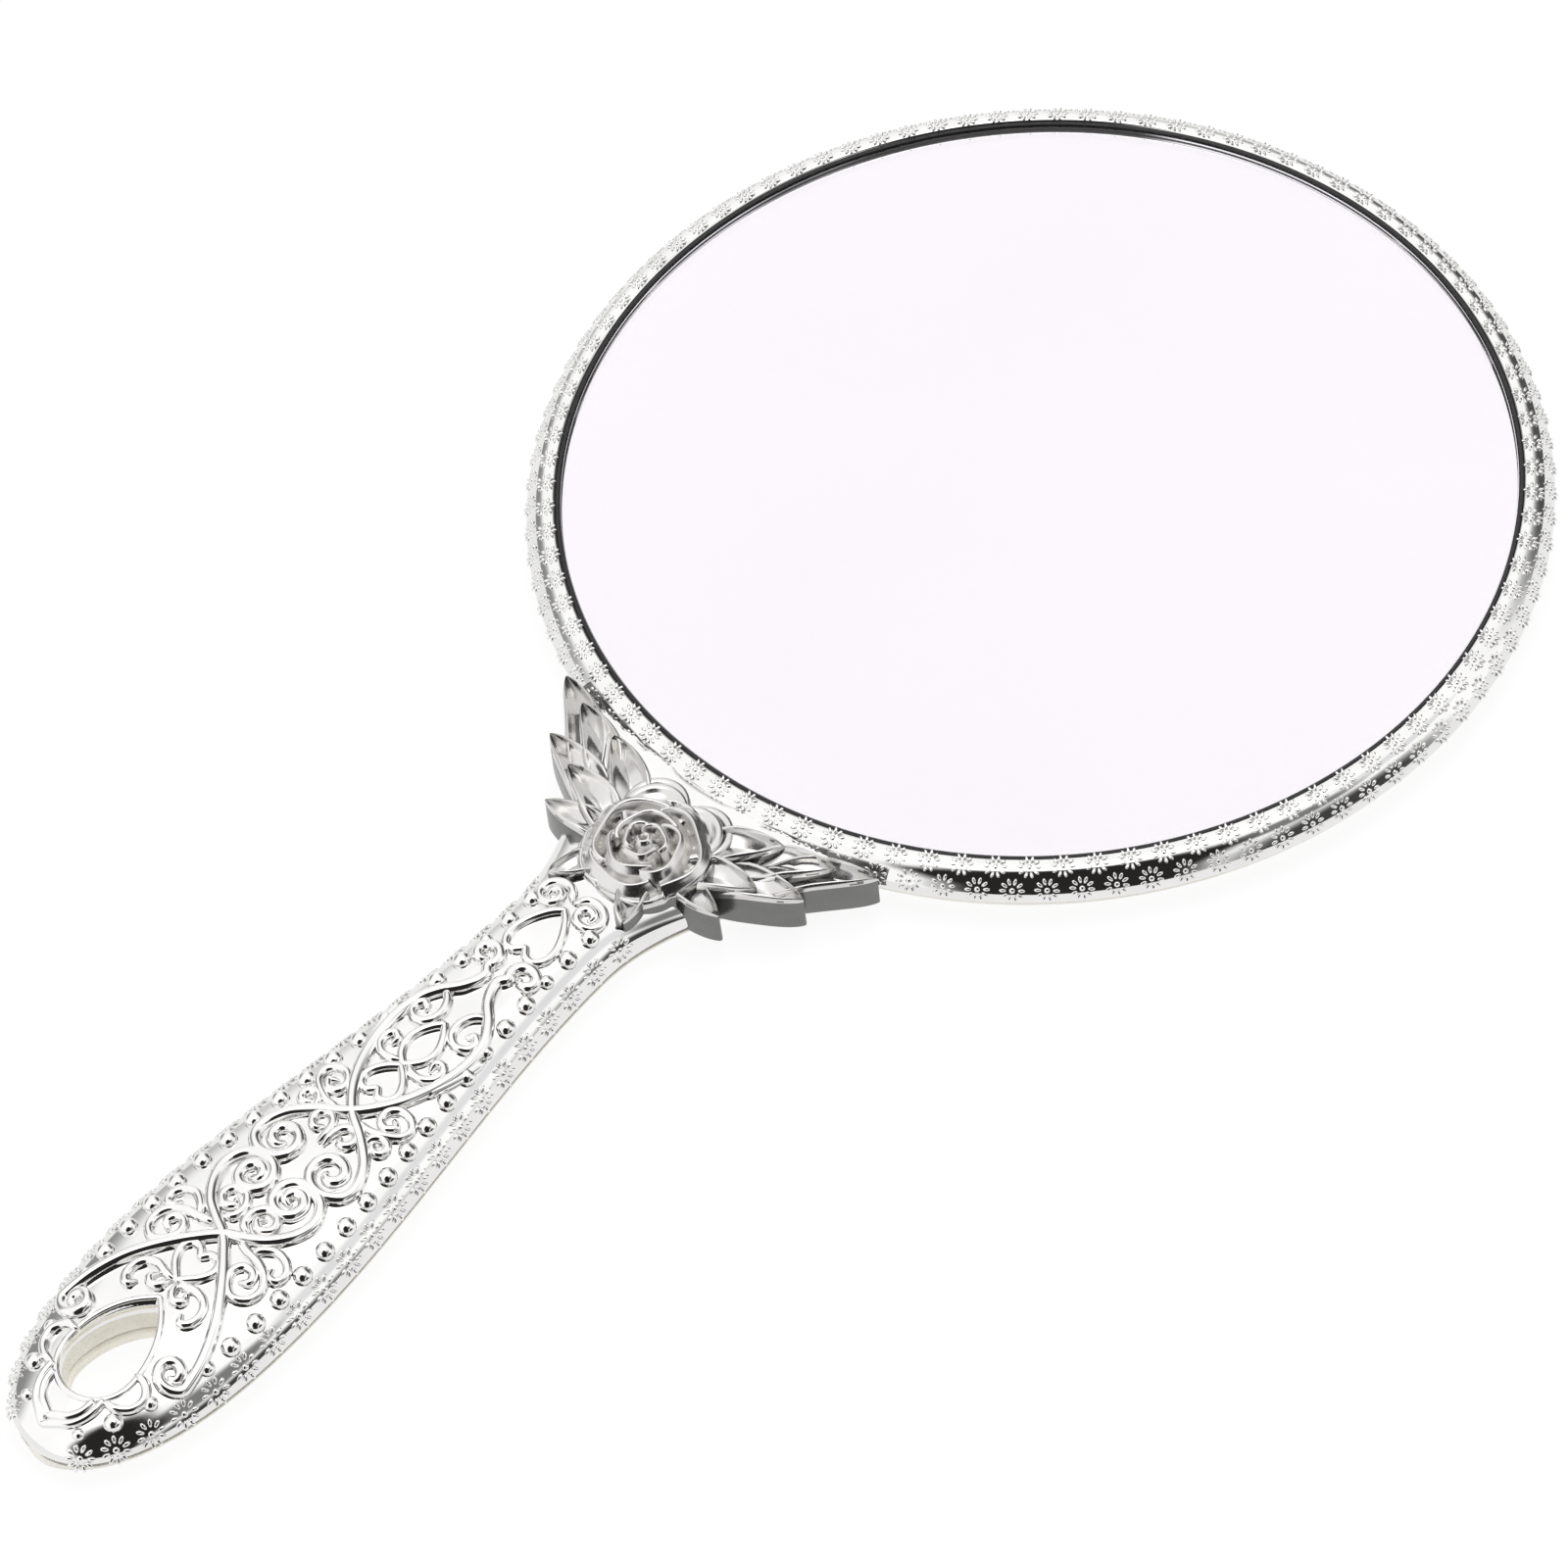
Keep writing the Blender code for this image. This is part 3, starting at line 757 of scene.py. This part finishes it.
def back_loop(v, steps=12):
    """One cross-section of the handle's back: just inside the face's edge, with round lower corners."""
    w = max(0.12, half_width(v) - min(0.25, 0.3 * half_width(v)))
    y = HEAD_Y - v
    under = min(4.2, 0.45 * w)
    loop = []
    for i in range(steps + 1):
        a = 0.5 * math.pi * i / steps
        loop.append((w - under + under * math.cos(a), y, BACK_TOP - 2.2 * math.sin(a)))
    return loop + [(-x, y, z) for x, y, z in reversed(loop)]


bm = bmesh.new()
add_loft(bm, [back_loop(v) for v in stops if v < HANDLE_END - 0.1])
back_handle = mesh_object("back_handle", bm)
for item in (dish, back_handle):
    item.data.materials.append(IVORY)
subtract(back_handle, hole_cutter([-4, -2, 14], IVORY))
back = join("back_cover", [dish, back_handle])
print("back faces", len(back.data.polygons))

# %% [markdown]
# ## Glass and what holds it
#
# The glass is clear, with the silver coat just under it, so the rim is mirrored with the small offset of
# a real back-silvered mirror. A near-black seal fills the gap round its edge, and its colour also paints
# the shade of that deep, narrow gap; four foam discs lie under the glass.

# %% Glass, coat, seal and pads
def turned_piece(name, profile, material_used, steps=256, centre=(0.0, HEAD_Y)):
    """A separate turned piece with one material."""
    bm = bmesh.new()
    add_turned(bm, profile, steps, centre)
    item = mesh_object(name, bm, 30)
    item.data.materials.append(material_used)
    return item


GLASS_R = 65.35
GLASS_PROFILE = [(0, 6.0), (GLASS_R - 0.1, 6.0), (GLASS_R, 6.1)]
GLASS_PROFILE += [(GLASS_R, 6.88), (GLASS_R - 0.12, 7.0), (0, 7.0)]
COAT_PROFILE = [(0, 5.65), (65.2, 5.65), (65.2, 5.9), (0, 5.9)]
SEAL_PROFILE = [(65.4, 3.3), (65.98, 3.3), (65.98, 7.3), (65.85, 7.36), (65.5, 7.28), (65.4, 7.1)]
PAD_PROFILE = [(0, 3.3), (11.7, 3.3), (12, 4.2), (11.7, 5.2), (0, 5.2)]
PAD_REACH = 38.0
glass = turned_piece("glass", GLASS_PROFILE, GLASS)
coat = turned_piece("silvering", COAT_PROFILE, SILVER)
# Near-black seal: a real ring whose colour also stands in for the gap's shade.
seal = turned_piece("seal_ring", SEAL_PROFILE, SEAL_BLACK_AND_GAP_SHADE)
pads = []
for k in range(4):
    turn = math.radians(45 + 90 * k)
    centre = (PAD_REACH * math.cos(turn), HEAD_Y + PAD_REACH * math.sin(turn))
    pads.append(turned_piece(f"foam_disc_{k + 1}", PAD_PROFILE, FOAM, 48, centre))
print("glass radius", GLASS_R)

# %% [markdown]
# ## Rose and leaves
#
# The ornament is one moulding. Each leaf has upright sides, a raised outline and a folded middle. The rose
# is a height field: at each point it takes the highest of its petals. Outside a petal's thin rim its face
# slopes away gently, and inside the rim it drops steeply.

# %% Leaves
PANEL_STOPS = [0, 0.1, 0.22, 0.34, 0.46, 0.58, 0.7, 0.8]
BORDER_STOPS = [0.95, 0.75, 0.6, 0.45, 0.32, 0.2, 0.1, 0.03, 0.0]
LENGTH_STOPS = [0.08 * i for i in range(9)] + [0.71, 0.78, 0.84, 0.89, 0.93, 0.96, 0.985, 0.999]
LEAF_LOW = 2.8
LEAF_FOLD = 1.75
BASE_DROP = 1.5
OUTLINE_HEIGHT = 0.58
STEEP_PANEL = 0.62
BROAD_PANEL = 0.95


def add_leaf(bm, base, tip, half, top, fold, bow=0.0, low=LEAF_LOW):
    """A pointed leaf from base to tip, both (x, v): a raised outline round two panels and a valley."""
    b, t = np.array(base, float), np.array(tip, float)
    length = np.linalg.norm(t - b)
    along = (t - b) / length
    aside = np.array([-along[1], along[0]])
    steep = 1 if aside[1] > 0 else -1
    loops = []
    for s in LENGTH_STOPS:
        w = half * (0.7 + 0.3 * math.sin(0.5 * math.pi * min(1, s / 0.45))) * (1 - s**2.8) ** 0.8
        w = max(0.04, w)
        mid = b + along * length * s + aside * bow * math.sin(math.pi * s)
        deep = fold * (0.3 + 0.7 * s) * min(1.0, w / 1.3)
        level = top - BASE_DROP * (1 - ease(s / 0.5))
        border = min(1.2, 0.5 * w)
        flat = [(w - border) * q / PANEL_STOPS[-1] for q in PANEL_STOPS]
        flat += [w - border * q for q in BORDER_STOPS]
        loop = []
        for side in (-1, 1):
            part = []
            for x in flat:
                is_steep = side == steep
                inner = max(0.0, 1 - x / w / (STEEP_PANEL if is_steep else BROAD_PANEL))
                dip = deep * inner ** (1.2 if is_steep else 0.9)
                off_ridge = (w - x - 0.4 * border) / (0.3 * border)
                ridge = OUTLINE_HEIGHT * math.exp(-(off_ridge**2)) * min(1, w)
                edge = 0.35 * max(0.0, 1 - (w - x) / (0.2 * border)) ** 2
                spot = mid + aside * side * x
                part.append((spot[0], HEAD_Y - spot[1], level - dip + ridge - edge))
            loop += part[::-1] if side == -1 else part[1:]
        for side in (1, -1):
            spot = mid + aside * side * (w + 0.12)
            loop.append((spot[0], HEAD_Y - spot[1], low))
        loops.append(loop)
    add_loft(bm, loops)


# One leaf per row: base, tip, half width, top and bow.
LEAVES = [
    ((14.5, 76.6), (27.3, 66.2), 3.1, 7.7, 1.2),
    ((11.5, 75.8), (22.2, 68.5), 3.0, 8.1, 0.8),
    ((8.5, 80.0), (22.2, 74.9), 3.2, 8.1, 0.8),
    ((5.0, 77.8), (14.9, 70.2), 3.1, 8.6, 0.6),
    ((5.5, 81.2), (16.5, 77.5), 3.0, 8.6, 0.6),
    ((4.0, 81.2), (15.2, 83.6), 2.5, 8.3, -0.3),
]
LEAVES_X = 0.6
bm = bmesh.new()
for base, tip, half, top, bow in LEAVES:
    for side in (1, -1):
        start = (LEAVES_X + side * base[0], base[1])
        end = (LEAVES_X + side * tip[0], tip[1])
        add_leaf(bm, start, end, half, top, LEAF_FOLD, -side * bow)
for side in (1, -1):
    start = (LEAVES_X + side * 3.2, 85.0)
    end = (LEAVES_X + side * 6.6, 92.3)
    add_leaf(bm, start, end, 2.4, 8.9, 1.0, 0.3 * side, low=4.5)


def add_round_petal(bm, cx, cv, radius, top):
    """A round petal behind the rose, with a rim line and a hollow inside it."""
    reach = [0, 0.3, 0.5, 0.62, 0.7, 0.76, 0.82, 0.87, 0.92, 0.96, 0.99, 1.0]
    drop = [0.75, 0.7, 0.6, 0.5, 0.36, 0.14, 0.0, -0.04, 0.0, 0.08, 0.22, 0.45]
    profile = [(radius * q, top - d) for q, d in zip(reach, drop)]
    add_turned(bm, profile + [(radius + 0.1, LEAF_LOW), (0, LEAF_LOW)], 64, (cx, HEAD_Y - cv))


ROUND_PETALS_X = 1.2
for side in (1, -1):
    add_round_petal(bm, ROUND_PETALS_X + side * 3.8, 74.9, 4.4, 8.2)
    add_round_petal(bm, ROUND_PETALS_X + side * 3.0, 76.2, 4.5, 8.8)
leaves = mesh_object("leaves", bm, 50)

# %% Rose
ROSE = (1.5, 81.7)
ROSE_RADIUS = 9.1
ROSE_FLOOR = 8.0
STEPS = 288
RINGS = 96
# One petal per row: the angle it faces, half its spread, the radius and height of its rim, how far the rim
# leans from one side to the other, and how fast its outer face curves down.
ROSE_PETALS = [
    (62, 44, 8.5, 9.0, 0.07, 0.35), (134, 44, 8.4, 8.9, 0.07, 0.35), (206, 44, 8.4, 8.9, 0.07, 0.35),
    (278, 44, 8.5, 9.0, 0.07, 0.35), (350, 44, 8.5, 9.0, 0.07, 0.35),
    (189, 72, 7.1, 10.0, 0.11, 0.4), (318, 74, 7.4, 10.2, 0.11, 0.4), (86, 66, 6.6, 9.8, 0.11, 0.4),
    (228, 74, 4.7, 10.7, 0.13, 0.8), (342, 74, 4.9, 10.8, 0.13, 0.8), (102, 70, 4.5, 10.5, 0.13, 0.8),
    (175, 74, 2.6, 11.2, 0.2, 1.3), (292, 74, 2.7, 11.3, 0.2, 1.3), (55, 74, 2.5, 11.1, 0.2, 1.3),
    (20, 180, 0.75, 11.5, 0.0, 1.2),
]


def petal_height(angle, r, facing, half, rim, top, lean, slope):
    """Height of one petal: a thin rim, a broad slope outside it and a steep drop inside it."""
    u = ((angle - facing + 180) % 360 - 180) / half
    if abs(u) > 1:
        return 0.0
    ripple = 1 + 0.04 * math.sin(math.radians(5 * angle + 70 * rim))
    edge = rim * (1 + lean * u) * (1 - 0.13 * u**4) * ripple
    d = r - edge
    z = top - 0.5 * abs(u) ** 5 - 0.38 * (1 - math.exp(-((d / 0.46) ** 2)))
    if d > 0:
        return z - 0.1 * d - slope * d * d
    return z - 2.6 * max(0.0, -d - 0.3)


def rose_height(angle, r, outer):
    """Height of the rose, with its outer edge rounded off."""
    z = max(petal_height(angle, r, *petal) for petal in ROSE_PETALS)
    z = max(z, ROSE_FLOOR)
    return z - 0.5 * max(0.0, 1 - (outer - r) / 0.5) ** 2


bm = bmesh.new()
rows = []
for i in range(1, RINGS + 1):
    row = []
    for k in range(STEPS):
        angle = 360 * k / STEPS
        outer = ROSE_RADIUS * (0.93 + 0.09 * abs(math.cos(math.radians(2.5 * (angle - 62)))))
        r = outer * i / RINGS
        a = math.radians(angle)
        x = ROSE[0] + r * math.cos(a)
        y = HEAD_Y - ROSE[1] - r * math.sin(a)
        row.append(bm.verts.new((x, y, rose_height(angle, r, outer))))
    rows.append(row)
rows.append([bm.verts.new((v.co.x, v.co.y, LEAF_LOW)) for v in rows[-1]])
for low, high in zip(rows, rows[1:]):
    for k in range(STEPS):
        m = (k + 1) % STEPS
        bm.faces.new((low[k], low[m], high[m], high[k]))
bm.faces.new(rows[-1])
bm.faces.new(rows[0])
rose = mesh_object("rose", bm, 50)
# Upright faces of the leaves and the rose take the darker satin copy, which paints shade on them.
UPRIGHT = 0.25
SIDE_AREA = 0.2 * MM * MM
for item in (leaves, rose):
    item.data.materials.append(SATIN)
    item.data.materials.append(SATIN_PAINTED_SHADE)
    for face in item.data.polygons:
        gets_painted_shade = abs(face.normal.z) < UPRIGHT and face.area > SIDE_AREA
        face.material_index = 1 if gets_painted_shade else 0
ornament = join("rose_and_leaves", [leaves, rose])
print("ornament faces", len(ornament.data.polygons))

# %% [markdown]
# ## Tie the pieces to the frame
#
# Nothing moves, so every piece rides on the root body. Each piece names the CAD node it stands for and the
# material slot it belongs to.

# %% Ride and replace
TABLE = [
    (front, "front_shell", "front_shell"),
    (flowers, "front_shell", "front_shell"),
    (back, "back_shell", "back_shell"),
    (glass, "mirror_glass", "mirror_glass"),
    (coat, "mirror_coat", "mirror_coat"),
    (seal, "edge_seal", "edge_seal"),
    (ornament, "rose_ornament", "rose_ornament"),
]
for k, pad in enumerate(pads):
    TABLE.append((pad, f"foam_pad_{k + 1}", "foam_pad"))
for piece, node, slot in TABLE:
    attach(piece, "root")
    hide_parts(node)
print("pieces", [p.name for p, node, slot in TABLE])

# %% [markdown]
# ## Floor, light and camera
#
# A pale floor runs out of the picture. The sky is white all round, as in a light tent, and brighter at the
# top. Soft dark patches stand in for the camera and for the openings of the tent. The camera's patches
# draw the dark streaks on the beads and the scrolls, and the others shade the rim and the handle's end.

# %% Floor and sky
bm = bmesh.new()
bmesh.ops.create_grid(bm, x_segments=1, y_segments=1, size=3000)
floor = mesh_object("floor", bm)
floor_mat = bpy.data.materials.new("pale_floor")
floor_mat.use_nodes = True
tree = floor_mat.node_tree
matt = tree.nodes["Principled BSDF"]
matt.inputs["Base Color"].default_value = (0.97, 0.97, 0.97, 1)
matt.inputs["Roughness"].default_value = 0.9
matt.inputs["Specular IOR Level"].default_value = 0.0
ray = tree.nodes.new("ShaderNodeLightPath")
glow = tree.nodes.new("ShaderNodeEmission")
dim = tree.nodes.new("ShaderNodeEmission")
dim.inputs["Color"].default_value = (0.92, 0.92, 0.92, 1)
seen = tree.nodes.new("ShaderNodeMixShader")
seen.inputs["Fac"].default_value = 0.9
whole = tree.nodes.new("ShaderNodeMixShader")
tree.links.new(matt.outputs[0], seen.inputs[1])
tree.links.new(glow.outputs[0], seen.inputs[2])
tree.links.new(ray.outputs["Is Glossy Ray"], whole.inputs["Fac"])
tree.links.new(seen.outputs[0], whole.inputs[1])
tree.links.new(dim.outputs[0], whole.inputs[2])
tree.links.new(whole.outputs[0], tree.nodes["Material Output"].inputs["Surface"])
floor.data.materials.append(floor_mat)

CAMERA_AZIMUTH = -43.46
CAMERA_ELEVATION = 52.49
CAMERA_ROLL = -6.98
CAMERA_AT = Vector((309.3, -286.0, 548.0)) * MM
CAMERA_LENS = 119.6


def direction(azimuth, elevation):
    """The unit vector toward an azimuth and an elevation in degrees."""
    a, e = math.radians(azimuth), math.radians(elevation)
    return Vector((math.cos(e) * math.cos(a), math.cos(e) * math.sin(a), math.sin(e)))


world = bpy.data.worlds.new("light_tent")
bpy.context.scene.world = world
world.use_nodes = True
tree = world.node_tree
back_light = tree.nodes["Background"]
coords = tree.nodes.new("ShaderNodeTexCoord").outputs["Generated"]


def patch(azimuth, elevation, inner, outer):
    """How much a direction lies in a round patch of the sky, by the patch's radii in degrees."""
    dot = tree.nodes.new("ShaderNodeVectorMath")
    dot.operation = "DOT_PRODUCT"
    dot.inputs[1].default_value = direction(azimuth, elevation)
    tree.links.new(coords, dot.inputs[0])
    ramp = tree.nodes.new("ShaderNodeMapRange")
    ramp.interpolation_type = "SMOOTHSTEP"
    ramp.inputs["From Min"].default_value = math.cos(math.radians(outer))
    ramp.inputs["From Max"].default_value = math.cos(math.radians(inner))
    tree.links.new(dot.outputs["Value"], ramp.inputs["Value"])
    return ramp.outputs["Result"]


def blend(colour, amount, shade):
    """Mix a shade into the sky's colour by an amount."""
    mix = tree.nodes.new("ShaderNodeMix")
    mix.data_type = "RGBA"
    tree.links.new(amount, mix.inputs["Factor"])
    if isinstance(colour, tuple):
        mix.inputs["A"].default_value = colour
    else:
        tree.links.new(colour, mix.inputs["A"])
    mix.inputs["B"].default_value = (*shade, 1)
    return mix.outputs["Result"]


# One patch per row: azimuth, elevation, radius of the even middle, outer radius and colour.
DARK = (0.02, 0.018, 0.018)
PATCHES = [
    (0, 90, 6, 26, (1.9, 1.9, 1.9)),
    (153, 18, 6, 26, (0.93, 0.93, 0.93)),
    (186, 2, 12, 37, (0.26, 0.26, 0.26)),
    (90, 8, 16, 44, (0.08, 0.08, 0.08)),
    (34, 46, 5, 14, (0.76, 0.76, 0.78)),
    (0, 42, 8, 19, (0.2, 0.2, 0.2)),
    (5, 0, 14, 30, (0.05, 0.05, 0.05)),
    (CAMERA_AZIMUTH - 2, 12, 18, 30, DARK),
    (CAMERA_AZIMUTH - 2, 38, 24, 33, DARK),
    (CAMERA_AZIMUTH - 2, 58, 13, 22, DARK),
]
sky = (1.0, 1.0, 1.0, 1)
for azimuth, elevation, inner, outer, shade in PATCHES:
    sky = blend(sky, patch(azimuth, elevation, inner, outer), shade)
tree.links.new(sky, back_light.inputs["Color"])
back_light.inputs["Strength"].default_value = 1.1

# %% Lights
def area(name, azimuth, elevation, distance, size, power):
    light = bpy.data.lights.new(name, "AREA")
    light.size = size
    light.energy = power
    item = bpy.data.objects.new(name, light)
    item.location = direction(azimuth, elevation) * distance
    item.rotation_euler = direction(azimuth, elevation).to_track_quat("Z", "Y").to_euler()
    bpy.context.scene.collection.objects.link(item)
    return item


top_box = area("top_box", 100, 70, 1.2, 0.8, 6)
top_box.visible_glossy = False
top_box.visible_transmission = False
top_box.visible_camera = False

# %% Camera
camera_data = bpy.data.cameras.new("camera")
camera_data.lens = CAMERA_LENS
camera_data.sensor_width = 36
camera_data.clip_start = 0.01
camera = bpy.data.objects.new("camera", camera_data)
view_from = direction(CAMERA_AZIMUTH, CAMERA_ELEVATION)
turn = view_from.to_track_quat("Z", "Y").to_matrix() @ Matrix.Rotation(math.radians(CAMERA_ROLL), 3, "Z")
camera.matrix_world = Matrix.Translation(CAMERA_AT) @ turn.to_4x4()
bpy.context.scene.collection.objects.link(camera)
bpy.context.scene.camera = camera
view = bpy.context.scene.view_settings
view.view_transform = "Standard"
view.look = "None"
view.exposure = 0.0
view.gamma = 1.0
